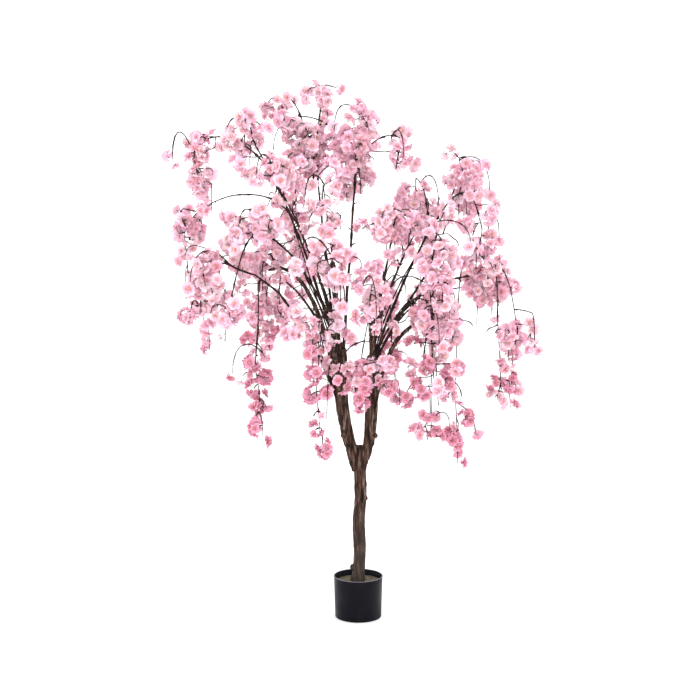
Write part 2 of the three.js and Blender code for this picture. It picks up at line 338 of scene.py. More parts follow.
def ownHeight(tree):
    place = tree.nodes.new("ShaderNodeTexCoord")
    parts = tree.nodes.new("ShaderNodeSeparateXYZ")
    tree.links.new(place.outputs["Object"], parts.inputs[0])
    return parts.outputs["Z"]


def bump(tree, shader, height, strength, distance):
    made = tree.nodes.new("ShaderNodeBump")
    made.inputs["Strength"].default_value = strength
    made.inputs["Distance"].default_value = distance
    tree.links.new(height, made.inputs["Height"])
    tree.links.new(made.outputs["Normal"], shader.inputs["Normal"])


bark = {
    "crack": (0.006, 0.004, 0.003),
    "brown": (0.040, 0.020, 0.014),
    "ridge": (0.098, 0.054, 0.038),
    "pale": (0.21, 0.155, 0.125),
    "foot": (0.050, 0.043, 0.038),
    "limbShade": (0.030, 0.015, 0.012),
    "twig": (0.030, 0.013, 0.012),
    "shine": 0.15,
}


def makeBark():
    material, tree, shader = newMaterial("trunkBark", bark["brown"], 0.85, Specular_IOR_Level=bark["shine"])
    grains = grain(tree, Scale=115.0, Stretch=0.16, Detail=7.0, Contrast=1.2)
    streaks = ramp(tree, grains.outputs["Streaks"], (
        (0.08, bark["crack"]), (0.34, bark["brown"]), (0.68, bark["ridge"]), (0.98, bark["pale"])))
    worn = blendColours(tree, grains.outputs["Patches"], streaks, bark["brown"])
    mixed = blendColours(tree, 0.45, streaks, worn)
    # greyer and dustier towards the foot of the trunk
    low = ranged(tree, ownHeight(tree), From_Min=0.42, From_Max=0.13, To_Min=0.0, To_Max=0.55)
    tree.links.new(blendColours(tree, low, mixed, bark["foot"]), shader.inputs["Base Color"])
    rough = ranged(tree, grains.outputs["Streaks"], To_Min=0.95, To_Max=0.7)
    tree.links.new(rough, shader.inputs["Roughness"])
    bump(tree, shader, grains.outputs["Streaks"], 0.6, 0.0012)
    return material


def makeLimbBark():
    material, tree, shader = newMaterial("limbBark", bark["limbShade"], 0.8, Specular_IOR_Level=bark["shine"])
    grains = grain(tree, Scale=190.0, Stretch=0.22, Detail=5.0, Contrast=1.5)
    streaks = ramp(tree, grains.outputs["Streaks"], (
        (0.1, bark["crack"]), (0.45, bark["limbShade"]), (0.8, bark["brown"]), (1.0, bark["ridge"])))
    tree.links.new(streaks, shader.inputs["Base Color"])
    bump(tree, shader, grains.outputs["Streaks"], 0.4, 0.0006)
    return material


trunkBark = makeBark()
limbBark = makeLimbBark()
twigBark = newMaterial("twigBark", bark["twig"], 0.7, Specular_IOR_Level=bark["shine"])[0]


pot = {
    "wall": 0.0026,
    "lipHeight": 0.0045,
    "lipRoll": 0.0011,
    "floor": 0.004,        # thickness of the bottom
    "groove": 0.0012,        # depth of the ring under the bottom
    "arris": 0.0003,        # the width that is taken off sharp edges
    "steps": 128,
    "black": (0.0030, 0.0026, 0.0052),
    "scuffed": (0.010, 0.0092, 0.012),
    # a painted highlight: the pale line of light along the top edge of the rim
    "paintedRimHighlight": (0.17, 0.16, 0.20),
}


def makePotPlastic():
    material, tree, shader = newMaterial("potPlastic", pot["black"], 0.42, Specular_IOR_Level=0.08)
    grains = grain(tree, Scale=22.0, Stretch=0.5, Detail=8.0, Contrast=2.2)
    worn = blendColours(tree, grains.outputs["Streaks"], pot["black"], pot["scuffed"])
    body = blendColours(tree, 0.35, pot["black"], worn)
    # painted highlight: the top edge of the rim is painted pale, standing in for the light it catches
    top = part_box("pot")[1].z
    rim = ranged(tree, ownHeight(tree), From_Min=top - 0.0016, From_Max=top - 0.0004)
    tree.links.new(blendColours(tree, rim, body, pot["paintedRimHighlight"]), shader.inputs["Base Color"])
    rough = ranged(tree, grains.outputs["Patches"], To_Min=0.36, To_Max=0.52)
    tree.links.new(rough, shader.inputs["Roughness"])
    bump(tree, shader, ownNoise(tree, Scale=900.0, Detail=2.0), 0.08, 0.0004)
    return material


def buildPot():
    low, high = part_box("pot")
    mesh = frame["nodes"]["pot"].data
    footRadius = max(math.hypot(v.co.x, v.co.y) for v in mesh.vertices if v.co.z < low.z + 0.012)
    rimRadius = (high.x - low.x) / 2
    lip = high.z - pot["lipHeight"]
    inner = rimRadius - pot["wall"] - pot["lipRoll"]
    profile = [
        (0.0, 0.0), (footRadius * 0.72, 0.0),
        (footRadius * 0.76, pot["groove"]), (footRadius * 0.88, pot["groove"]),
        (footRadius * 0.92, 0.0), (footRadius - 0.003, 0.0),
        (footRadius - 0.0008, 0.0009), (footRadius, 0.0032),
        (rimRadius - pot["lipRoll"], lip), (rimRadius, lip + 0.0008), (rimRadius, high.z - 0.001),
        (rimRadius - 0.001, high.z), (inner + 0.0008, high.z), (inner, high.z - 0.001),
        (footRadius - pot["wall"], 0.05),
        (footRadius - pot["wall"] - 0.0005, pot["floor"]), (0.0, pot["floor"]),
    ]
    bm = bmesh.new()
    ring = [bm.verts.new((radius, 0, height)) for radius, height in profile]
    edges = [bm.edges.new(pair) for pair in zip(ring, ring[1:])]
    bmesh.ops.spin(bm, geom=ring + edges, cent=(0, 0, 0), axis=(0, 0, 1), angle=math.tau,
                   steps=pot["steps"], use_merge=True, use_duplicate=False)
    bmesh.ops.remove_doubles(bm, verts=bm.verts, dist=1e-5)
    bmesh.ops.recalc_face_normals(bm, faces=bm.faces)
    for f in bm.faces:
        f.smooth = True
    sharp = [e for e in bm.edges if e.is_manifold and e.calc_face_angle() > math.radians(50)]
    bmesh.ops.bevel(bm, geom=sharp, offset=pot["arris"], segments=2, profile=0.5, affect="EDGES", material=-1)
    obj = addMesh("plantPot", bm, [makePotPlastic()])
    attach(obj, "root")
    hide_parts("pot")
    print("pot made")


fill = {
    "rings": 46,
    "sides": 150,
    "lump": 0.0042,
    "grit": 0.0016,
    "pebbles": 150,
    "pebbleSize": (0.0008, 0.0027),
    "mound": 0.0035,        # height of the low ring heaped round the trunk
    "moundRadius": 0.03,
    "moundWidth": 0.018,
    "dark": (0.030, 0.022, 0.017),
    "earth": (0.115, 0.088, 0.062),
    "moss": (0.105, 0.098, 0.040),
    "chalk": (0.42, 0.37, 0.31),
}


def makeFill():
    material, tree, shader = newMaterial("pottedFill", fill["earth"], 0.95)
    specks = ownNoise(tree, Scale=260.0, Detail=5.0)
    ground = ramp(tree, specks, (
        (0.36, fill["dark"]), (0.5, fill["earth"]), (0.62, fill["earth"]), (0.72, fill["chalk"])))
    mossy = ranged(tree, ownNoise(tree, Scale=48.0, Detail=4.0), From_Min=0.5, From_Max=0.62, To_Max=0.75)
    tree.links.new(blendColours(tree, mossy, ground, fill["moss"]), shader.inputs["Base Color"])
    bump(tree, shader, specks, 0.7, 0.002)
    return material


def buildFill():
    low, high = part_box("pot_fill")
    radius = (high.x - low.x) / 2 + 0.001
    top = high.z - 0.003
    bm = bmesh.new()
    bmesh.ops.create_cone(bm, cap_ends=True, segments=fill["sides"], radius1=radius - 0.004, radius2=radius,
                          depth=top - low.z, matrix=Matrix.Translation((0, 0, (top + low.z) / 2)))
    lid = max(bm.faces, key=lambda f: f.calc_center_median().z)
    for ring in range(fill["rings"]):
        inset = radius / (fill["rings"] + 1)
        bmesh.ops.inset_region(bm, faces=[lid], thickness=inset, use_even_offset=True)
    bmesh.ops.poke(bm, faces=[lid])
    for v in bm.verts:
        if v.co.z < top - 0.0005:
            continue
        spot = Vector((v.co.x, v.co.y, 0))
        edge = min(1.0, max(0.0, (radius - spot.length) / 0.008))
        lump = noise.noise(spot * 42) * fill["lump"] + noise.noise(spot * 160) * fill["grit"]
        mound = fill["mound"] * math.exp(-((spot.length - fill["moundRadius"]) / fill["moundWidth"]) ** 2)
        v.co.z += lump * edge + mound
    picks = random.Random(5)
    for i in range(fill["pebbles"]):
        turn = picks.uniform(0, math.tau)
        out = picks.uniform(0.034, radius - 0.006)
        size = picks.uniform(*fill["pebbleSize"])
        spot = Matrix.Translation((out * math.cos(turn), out * math.sin(turn), top + size * 0.4))
        squash = Matrix.Diagonal((1, picks.uniform(0.6, 1), picks.uniform(0.5, 0.9), 1))
        made = bmesh.ops.create_icosphere(bm, subdivisions=1, radius=size, matrix=spot @ squash)
        for v in made["verts"]:
            v.co += drift(v.co * 700) * size * 0.35
    for f in bm.faces:
        f.smooth = True
    bmesh.ops.recalc_face_normals(bm, faces=bm.faces)
    obj = addMesh("pottedFill", bm, [makeFill()])
    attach(obj, "root")
    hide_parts("pot_fill")
    print("fill made")


buildPot()
buildFill()


trunk = {
    "voxel": 0.0019,
    "smoothings": 6,
    "stemRounding": 4,
    "flute": 0.0022,
    "crack": 0.0016,
    "grain": 0.0007,
    "burl": 0.0035,
    "trunkPad": 0.0014,
    "boughPad": 0.0026,
    "fork": (0.0035, -0.001, 0.585),
    "forkRadius": 0.0165,
    # stems that split off a bough: how far up it, the mass they run into, and their radius
    "shoots": (
        ("bough_left", 0.16, "blossom_low_front_left", 0.0085),
        ("bough_left", 0.34, "blossom_front_left", 0.0085),
        ("bough_left", 0.46, "blossom_band_back", 0.0080),
        ("bough_right", 0.30, "blossom_low_right", 0.0075),
        ("bough_right", 0.44, "blossom_front", 0.0080),
        ("bough_right", 0.52, "blossom_low_back", 0.0070),
    ),
    "shootTip": 0.0028,
    "shootRise": 0.45,
}


def verticalLine(node, count):
    mesh = frame["nodes"][node].data
    low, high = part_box(node)
    line = []
    for i in range(count + 1):
        height = low.z + 0.001 + (high.z - low.z - 0.002) * i / count
        cut = section(mesh, Vector((0, 0, height)), up)
        if cut:
            line.append(cut)
    return [p for p, r in line], [r for p, r in line]


def stemsDownBough(line, radii, feet):
    # every limb runs on down the side of its bough as a stem of its own, so that the bough is a bundle
    runs = []
    for slot, (foot, radius) in enumerate(feet):
        turn = math.atan2(foot.y - line[-1].y, foot.x - line[-1].x)
        lowest = int(len(line) * (0.10 + 0.5 * (slot * 0.618 % 1)))
        points, widths = [], []
        for i in range(lowest, len(line)):
            twist = turn + 0.5 * (len(line) - 1 - i) / len(line)
            share = (i - lowest) / (len(line) - lowest)
            away = radii[i] * 0.78 * min(1.0, share * 3)
            points.append(line[i] + Vector((math.cos(twist), math.sin(twist), 0)) * away)
            widths.append(radius * 1.45 * min(1.0, 0.5 + share * 2))
        points.append(foot + up * 0.004)
        widths.append(radius * 1.15)
        runs.append((points, widths))
    return runs


def shootRun(bough, share, target, radius):
    # leaves the bough almost along it, then leans over into the middle of its mass
    line, radii = verticalLine(bough, 16)
    first = round(share * len(line))
    start = line[first]
    goal = masses[target].middle
    gap = (goal - start).length
    side = Vector((goal.x - start.x, goal.y - start.y, 0)).normalized()
    edge = start + side * radii[first] * 0.8
    rise = (line[-1] - start).normalized() * gap * trunk["shootRise"]
    over = goal + up * gap * 0.1 - side * gap * 0.3
    points = bezier(edge, edge + rise + side * radii[first], over, goal, 14)
    return points, thinning(len(points), radius, trunk["shootTip"])


def boughRuns():
    # a stem up through each bough, with the stems of its limbs round it, the shoots and a web in the fork
    runs = []
    heart, heartRadii = verticalLine("trunk", 12)
    for name in ("bough_left", "bough_right"):
        line, radii = verticalLine(name, 16)
        root = [heart[-4], heart[-2].lerp(line[0], 0.4), line[0]]
        rootRadii = [heartRadii[-4] * 0.6, heartRadii[-2] * 0.8, radii[0] * 0.92]
        runs.append((root + line[1:] + [line[-1] + up * 0.006], rootRadii + radii[1:] + [radii[-1] * 0.8]))
        feet = []
        for limb in limbNames:
            points, widths = limbLines[limb]
            if abs(points[0].z - line[-1].z) < 0.02 and (points[0] - line[-1]).length < 0.03:
                feet.append((points[0], widths[0]))
        runs += stemsDownBough(line, radii, feet)
    for shoot in trunk["shoots"]:
        runs.append(shootRun(*shoot))
    fork = Vector(trunk["fork"])
    wide = trunk["forkRadius"]
    runs.append(([fork - up * 0.05, fork - up * 0.018, fork - up * 0.007, fork],
                 [wide * 1.1, wide, wide * 0.75, wide * 0.35]))
    return runs


def remeshed(name, bm, voxel):
    # all the overlapping tubes and solids as one skin
    obj = addMesh(name, bm, [])
    remesh = obj.modifiers.new("join", "REMESH")
    remesh.mode = "VOXEL"
    remesh.voxel_size = voxel
    obj = settle(obj)
    bm = bmesh.new()
    bm.from_mesh(obj.data)
    bpy.data.objects.remove(obj)
    for i in range(trunk["smoothings"]):
        bmesh.ops.smooth_vert(bm, verts=bm.verts, factor=0.5,
                              use_axis_x=True, use_axis_y=True, use_axis_z=True)
    bm.normal_update()
    return bm


def barkHeight(spot):
    # long flutes and cracks up the trunk, fine grain between them and a few burls
    long = Vector((spot.x * 150, spot.y * 150, spot.z * 13))
    fine = Vector((spot.x * 420, spot.y * 420, spot.z * 60))
    crack = abs(noise.noise(long + Vector((7, 3, 0))))
    height = trunk["flute"] * (noise.noise(Vector((spot.x * 70, spot.y * 70, spot.z * 9))))
    height -= trunk["crack"] * (1 - min(1, crack * 4.5))
    height += trunk["grain"] * noise.noise(fine)
    height += trunk["burl"] * max(0, noise.noise(spot * 28) - 0.25)
    height += trunk["boughPad"] if spot.z > trunk["fork"][2] - 0.05 else trunk["trunkPad"]
    return height


def buildTrunk():
    bm = bmesh.new()
    for name in ("trunk", "bough_left", "bough_right"):
        bm.from_mesh(frame["nodes"][name].data)
    bmesh.ops.remove_doubles(bm, verts=bm.verts, dist=1e-6)
    core = addMesh("trunkCore", bm, [])
    stems = tubes("trunkStems", boughRuns(), trunk["stemRounding"])
    bm = bmesh.new()
    bm.from_mesh(stems.data)
    bm.from_mesh(core.data)
    bpy.data.objects.remove(stems)
    bpy.data.objects.remove(core)
    bm = remeshed("trunkAndBoughs", bm, trunk["voxel"])
    moves = [v.normal * barkHeight(v.co) for v in bm.verts]
    for v, move in zip(bm.verts, moves):
        v.co += move
    for f in bm.faces:
        f.smooth = True
    obj = addMesh("trunkAndBoughs", bm, [trunkBark])
    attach(obj, "root")
    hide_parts("trunk", "bough_left", "bough_right")
    print("trunk made:", len(obj.data.polygons), "faces")


buildTrunk()


limb = {
    "knobEvery": 0.085,
    "knobSwell": 0.42,
    "wander": 0.0035,
    "stubEvery": 0.07,
    "stubLength": 0.014,
    "step": 0.016,
    "twinShare": 0.62,        # of a limb's length that its twin runs beside it
    "twinApart": 0.013,
    "twinRadius": 0.72,
}


def resample(points, radii, step):
    outPoints, outRadii = [points[0].copy()], [radii[0]]
    for i in range(len(points) - 1):
        span = (points[i + 1] - points[i]).length
        count = max(1, round(span / step))
        for k in range(1, count + 1):
            t = k / count
            outPoints.append(points[i].lerp(points[i + 1], t))
            outRadii.append(radii[i] * (1 - t) + radii[i + 1] * t)
    return outPoints, outRadii


def knobbly(points, radii, every, swell, wander, seed):
    # small swellings where side shoots would be, and a slight wander between them
    offset = seed * 3.7
    outPoints, outRadii = [], []
    travelled = 0.0
    for i, (point, radius) in enumerate(zip(points, radii)):
        if i:
            travelled += (point - points[i - 1]).length
        phase = (travelled / every + offset) % 1
        bulge = math.exp(-((phase - 0.5) / 0.09) ** 2)
        ease = min(1.0, travelled / 0.05)
        outPoints.append(point + drift(Vector((travelled * 9, offset, 0.3))) * wander * ease)
        outRadii.append(radius * (1 + swell * bulge))
    return outPoints, outRadii


def stubs(points, radii, every, length):
    runs = []
    travelled, mark = 0.0, every * rng.uniform(0.3, 1)
    for i in range(1, len(points) - 1):
        travelled += (points[i] - points[i - 1]).length
        if travelled < mark:
            continue
        mark += every * rng.uniform(0.6, 1.4)
        along = (points[i + 1] - points[i - 1]).normalized()
        out = along.cross(randomUnit()).normalized()
        tip = points[i] + (out + along * 0.6).normalized() * length * rng.uniform(0.6, 1.3)
        middle = points[i].lerp(tip, 0.6)
        runs.append(([points[i], middle, tip], [radii[i] * 0.75, radii[i] * 0.5, radii[i] * 0.42]))
    return runs


def twinRun(points, radii, order):
    # a second stem that draws a little away from the limb and comes back to it
    count = round(len(points) * limb["twinShare"])
    heading = (points[count] - points[0]).normalized()
    side = heading.cross(up).normalized()
    away = (side + side.cross(heading) * (1.6 if order % 2 else -1.6)).normalized()
    marks, widths = [], []
    for i in range(count):
        share = i / (count - 1)
        marks.append(points[i] + away * limb["twinApart"] * (0.3 + 0.7 * math.sin(math.pi * share)))
        widths.append(radii[i] * limb["twinRadius"] * (1 - 0.35 * share))
    return marks + [points[count]], widths + [widths[-1] * 0.8]


limbPaths = {}


def buildLimbs():
    runs = []
    for order, name in enumerate(limbNames):
        rng.seed(name)
        points, radii = limbLines[name]
        points, radii = resample(points, radii, limb["step"])
        points, radii = knobbly(points, radii, limb["knobEvery"], limb["knobSwell"], limb["wander"], order)
        limbPaths[name] = (points, radii)
        back = (points[1] - points[0]).normalized()
        runs.append(([points[0] - back * 0.012] + points, [radii[0]] + radii))
        runs += stubs(points, radii, limb["stubEvery"], limb["stubLength"])
        runs.append(twinRun(points, radii, order))
    obj = tubes("limbs", runs, 3)
    for f in obj.data.polygons:
        f.use_smooth = True
    obj.data.materials.append(limbBark)
    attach(obj, "root")
    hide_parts(*limbNames)
    print("limbs made:", len(obj.data.polygons), "faces")


buildLimbs()


# where the leading twig of each mass leaves its limb, as a share of the limb's length
leads = {
    "limb_top_left": {"peak": 1.0, "top_left": 1.0, "high_tuft": 0.98, "inner_front": 0.55},
    "limb_top": {"top_right": 1.0, "top_back": 0.8, "high_right": 0.97},
    "limb_high_left": {"high_left": 1.0, "shoulder_left": 0.86},
    "limb_upper_left": {"upper_left": 1.0, "edge_left": 0.72},
    "limb_upper_back": {"upper_back": 1.0, "far_back_left": 0.8},
    "limb_mid_left": {"mid_left": 1.0, "tuft_front_left": 0.9},
    "limb_outer_left": {"band_left": 1.0, "tuft_left": 0.97, "drop_left": 0.75},
    "limb_back_left": {"band_back": 1.0, "low_back_left": 0.9},
    "limb_front_left": {"low_front_left": 0.6, "drop_front": 0.45, "front_left": 1.0},
    "limb_inner_right": {"low_front": 0.3, "front": 0.6, "inner_right": 1.0},
    "limb_back_right": {"far_back": 0.62, "back_right": 1.0, "low_back_right": 0.5, "low_back": 0.35},
    "limb_shoulder_right": {"upper_right": 0.72, "shoulder_right": 1.0, "edge_right": 0.93},
    "limb_front_right": {"front_right": 1.0, "low_right": 0.6, "drop_front_right": 0.8, "hem_front": 0.86},
    "limb_outer_right": {"band_right": 1.0, "far_right": 1.0, "drop_right": 0.96, "hem_right": 0.7},
}
leadOf = {mass: (limb, share) for limb, row in leads.items() for mass, share in row.items()}

twig = {
    "leadRadius": 0.0027,
    "sideRadius": 0.0018,
    "tipRadius": 0.0012,
    "step": 0.015,
    "archRadius": 0.0022,
    "arch": 0.22,
    "climbCost": 2.2,
    "sag": 0.35,
    "margin": 0.030,
}

# knobs on each kind of twig: how far apart, how much they swell, and how far the twig wanders between them
knobs = {
    "lead": (0.042, 0.9, 0.004),
    "side": (0.034, 0.9, 0.0015),
    "bow": (0.030, 0.8, 0.001),
    "string": (0.022, 0.8, 0.001),
}

# how far apart the stubs stand on a twig, and how long they are
twigStubs = {
    "lead": (0.05, 0.010),
    "bow": (0.018, 0.006),
}

# how far a leading twig swings up before it comes down into its mass, as a share of the gap, where it is much
swings = {
    "high_tuft": 0.50,
    "high_left": 0.26,
    "shoulder_left": 0.36,
    "edge_left": 0.40,
    "tuft_left": 0.45,
    "edge_right": 0.60,
    "far_right": 0.50,
    "drop_right": 0.36,
    "low_right": 0.36,
    "hem_right": 0.36,
    "peak": 0.10,
}

# open sky between two masses: the share of the way from the first to the second, and the radius kept clear
openGaps = (
    ("shoulder_left", "mid_left", 0.40, 0.044),
    ("upper_left", "mid_left", 0.35, 0.032),
    ("edge_left", "mid_left", 0.45, 0.018),
    ("high_left", "top_left", 0.40, 0.034),
    ("top_back", "high_right", 0.55, 0.032),
    ("top_back", "inner_right", 0.40, 0.028),
    ("inner_front", "inner_right", 0.28, 0.028),
    ("inner_right", "front_left", 0.50, 0.048),
    ("upper_right", "shoulder_right", 0.65, 0.026),
    ("back_right", "edge_right", 0.62, 0.030),
    ("front", "front_right", 0.50, 0.046),
    ("low_back_right", "band_right", 0.50, 0.034),
    ("low_right", "far_right", 0.55, 0.064),
    ("drop_front_right", "drop_right", 0.50, 0.055),
    ("upper_back", "front_left", 0.45, 0.026),
    ("band_back", "front_left", 0.30, 0.024),
    ("front", "low_right", 0.45, 0.030),
    ("low_front", "front", 0.55, 0.028),
    ("low_back", "low_right", 0.35, 0.022),
    ("drop_left", "low_front_left", 0.50, 0.068),
    ("drop_left", "drop_front", 0.50, 0.060),
    ("drop_front_right", "hem_front", 0.50, 0.036),
    ("drop_front_right", "hem_right", 0.55, 0.036),
)

sight = {
    "limbShare": 0.38,        # of each limb, from its foot, that flowers in front leave in sight
    "boughShare": 0.34,        # of each bough, from its top
    "margin": 0.006,
    "chance": 0.65,
}

strings = {
    "every": 0.060,
    "shortest": 0.030,
    "longest": 0.095,
    "knots": 0.45,
}

bows = {
    "perMass": 1,
    "rise": 0.16,
    "reach": 0.72,
    "spread": 0.8,
    "headroom": 0.05,
}

loose = {
    "tries": 26,
    "near": 0.008,
    "far": 0.036,
    "apart": 0.070,
    "fromTrunk": 0.10,
}


def along(path, share):
    points, radii = path
    spot = share * (len(points) - 1)
    i = min(int(spot), len(points) - 2)
    heading = (points[i + 1] - points[i]).normalized()
    return points[i].lerp(points[i + 1], spot - i), heading


def knobbed(points, radii, kind):
    return knobbly(points, radii, *knobs[kind], rng.random() * 9)


def leadTwig(mass):
    # from its limb, up and over in an arch, and then down through the mass
    name, share = leadOf[mass.place]
    start, heading = along(limbPaths[name], share)
    entry = mass.middle + up * mass.size.z * 0.3
    gap = (entry - start).length
    level = max(start.z, entry.z)
    inward = (start - entry).normalized()
    over = entry.lerp(start, 0.25)
    over.z = level + gap * swings.get(mass.place, twig["arch"]) * (0.5 if entry.z > start.z else 1.0)
    points = bezier(start, start + heading * gap * 0.45, over, entry, max(4, round(gap / twig["step"])))
    hang = mass.middle - up * mass.size.z * 0.4 + sideways() * mass.size.x * 0.1
    count = max(2, round((entry - hang).length / twig["step"]))
    bend = entry + (entry - over).normalized() * mass.size.z * 0.2 - inward * 0.01
    points += bezier(entry, bend, hang + up * mass.size.z * 0.3, hang, count)[1:]
    return points, thinning(len(points), twig["leadRadius"], twig["tipRadius"])


def nearestJoint(net, goal):
    # where a twig to this place would best leave another: close by, and above it rather than below
    def cost(joint):
        gap = goal - joint[0]
        return gap.length + twig["climbCost"] * max(0, gap.z + 0.2 * gap.length)
    return min(net, key=cost)


def joints(points):
    return [(points[i], (points[i] - points[i - 1]).normalized()) for i in range(1, len(points))]


def withinBox(point, margin):
    # the nearest place that is inside the frame's own box by the margin
    edge = Vector((1, 1, 1)) * margin
    low, high = cadLow + edge, cadHigh - edge
    return Vector([min(max(point[k], low[k]), high[k]) for k in range(3)])


def hangingString(start, fall):
    # goes over the edge and hangs straight down
    side = sideways() * fall * 0.16
    foot = start + side * 1.2 - up * fall
    count = max(3, round(fall / twig["step"]))
    return bezier(start, start + side + up * fall * 0.12, foot + up * fall * 0.6, foot, count)


def bowTwig(mass, start):
    # leaves the mass upwards, arches over and comes down past its outer side
    outward = Vector((mass.middle.x, mass.middle.y, 0)).normalized()
    outward = (outward + sideways() * bows["spread"]).normalized()
    width = (mass.size.x + mass.size.y) / 2
    tip = mass.middle + outward * width * bows["reach"] + up * mass.size.z * rng.uniform(-0.35, 0.15)
    rise = up * (mass.high.z - start.z + width * bows["rise"] * rng.uniform(0.2, 1.0))
    gap = (tip - start).length
    over = Vector((tip.x, tip.y, start.z)) + rise
    count = max(4, round(gap * 1.5 / twig["step"]))
    points = bezier(start, start.lerp(over, 0.35) + rise * 0.5, over, tip, count)
    return [withinBox(point, twig["margin"]) for point in points]


def sideTwig(start, heading, goal):
    # leaves its parent twig sideways and comes down onto its goal
    gap = (goal - start).length
    out = (heading * 0.5 + (goal - start).normalized() + randomUnit() * 0.25).normalized()
    above = withinBox(goal + up * gap * twig["sag"] + (start - goal) * 0.12, twig["margin"])
    points = bezier(start, start + out * gap * 0.4, above, goal, max(2, round(gap / twig["step"])))
    return points, thinning(len(points), twig["sideRadius"], twig["tipRadius"])


bloom = {
    "spacing": 0.040,
    "stalk": 0.019,
    "apart": 0.0155,
    "clumps": 11,
    "sparse": -0.10,
    "cluster": (3, 4, 4, 5),
    "few": (1, 1, 2),
    "sprayInside": 0.004,
    "inside": 0.002,
    "margin": 0.010,
    "tries": 24,
    "size": (0.78, 1.06),
    "ruffle": 0.0052,
    "outward": 0.8,        # how much blooms face away from the middle of their mass
    "stray": 0.5,        # how far a whole spray turns from that
    "droop": 0.15,
    "splay": 1.2,        # how far the blooms of a spray turn from each other
    "outer": dict(count=6, length=0.0225, width=0.0225, tilt=10, cup=0.0030, lift=0.0),
    "middle": dict(count=6, length=0.0185, width=0.0185, tilt=34, cup=0.0040, lift=0.0012),
    "inner": dict(count=4, length=0.0110, width=0.0120, tilt=58, cup=0.0034, lift=0.0022),
}

tints = {
    "blush": ((0.94, 0.65, 0.76), (0.94, 0.60, 0.69), (0.94, 0.54, 0.57)),
    "rose": ((0.93, 0.58, 0.70), (0.93, 0.53, 0.63), (0.93, 0.47, 0.51)),
    "candy": ((0.94, 0.61, 0.74), (0.94, 0.55, 0.67), (0.93, 0.49, 0.55)),
    "shell": ((0.95, 0.69, 0.78), (0.95, 0.63, 0.70), (0.95, 0.57, 0.58)),
    "dusk": ((0.82, 0.40, 0.53), (0.78, 0.33, 0.45), (0.72, 0.27, 0.35)),
}
tintNames = sorted(tints)
shapesPerTint = 3
dusk = {"below": 1.0, "over": 0.2, "share": 0.75}        # low flowers are darker
upperTints = ("blush", "rose", "candy", "shell", "blush", "candy")


clothLook = {
    "Sheen_Weight": 0.12,
    "Specular_IOR_Level": 0.25,
    "Subsurface_Weight": 0.6,
    "Subsurface_Radius": (0.012, 0.007, 0.008),
    "Subsurface_Scale": 1.0,
}


def makePetalCloths():
    cloths = {}
    for tint, shades in tints.items():
        for part, colour in zip(("Edge", "Body", "Base"), shades):
            cloths[tint + part] = newMaterial(tint + part, colour, 0.72, **clothLook)[0]
    cloths["heart"] = newMaterial("bloomHeart", (0.80, 0.42, 0.27), 0.7)[0]
    cloths["stalk"] = newMaterial("bloomStalk", (0.10, 0.075, 0.03), 0.7)[0]
    return cloths


def petal(bm, whorl, turn, picks, faceKinds):
    # a grid of two by two faces, narrow at its base
    made = bmesh.ops.create_grid(bm, x_segments=2, y_segments=2, size=0.5)
    ruffle = [picks.uniform(-bloom["ruffle"], bloom["ruffle"]) for i in range(3)]
    length = whorl["length"] * picks.uniform(0.76, 1.12)
    tilt = math.radians(whorl["tilt"] + picks.uniform(-20, 20))
    place = (Matrix.Rotation(turn, 4, "Z") @ Matrix.Translation((0, 0.0012, whorl["lift"]))
             @ Matrix.Rotation(tilt, 4, "X"))
    for v in made["verts"]:
        across, out = v.co.x * 2, v.co.y + 0.5
        column = round(across) + 1
        row = round(out * 2)
        width = (0.20, 0.96, 0.62)[row]
        reach = length * (0.0, 0.56, 0.90)[row]
        if row == 2 and column == 1:
            reach = length * picks.uniform(0.88, 1.0)        # the tip is notched on some petals
        lift = whorl["cup"] * (across * across * (0.4 + 0.6 * out) - 0.35 * out * out)
        lift += ruffle[column] * out * out
        v.co = place @ Vector((across * whorl["width"] * 0.5 * width, reach, lift))
    faces = {f for v in made["verts"] for f in v.link_faces}
    for f in faces:
        near = min((place.inverted() @ v.co).y for v in f.verts)
        f.material_index = faceKinds[0] if near < length * 0.2 else faceKinds[1]


def bloomShape(name, tint, cloths, seed):
    picks = random.Random(seed)
    bm = bmesh.new()
    for which, kinds in (("outer", (1, 0)), ("middle", (2, 1)), ("inner", (2, 2))):
        whorl = bloom[which]
        start = picks.uniform(0, math.tau)
        for i in range(whorl["count"]):
            turn = start + math.tau * (i + picks.uniform(-0.12, 0.12)) / whorl["count"]
            petal(bm, whorl, turn, picks, kinds)
    heart = bmesh.ops.create_cone(bm, cap_ends=True, segments=5, radius1=0.0012, radius2=0.0022, depth=0.006,
                                  matrix=Matrix.Translation((0, 0, 0.0045)))
    for f in {f for v in heart["verts"] for f in v.link_faces}:
        f.material_index = 3
    stalk = bmesh.ops.create_cone(bm, cap_ends=False, segments=3, radius1=0.0005, radius2=0.0017,
                                  depth=bloom["stalk"],
                                  matrix=Matrix.Translation((0, 0, -bloom["stalk"] / 2)))
    for f in {f for v in stalk["verts"] for f in v.link_faces}:
        f.material_index = 4
    for f in bm.faces:
        f.smooth = f.material_index < 3
    materials = [cloths[tint + part] for part in ("Edge", "Body", "Base")]
    return addMesh(name, bm, materials + [cloths["heart"], cloths["stalk"]])


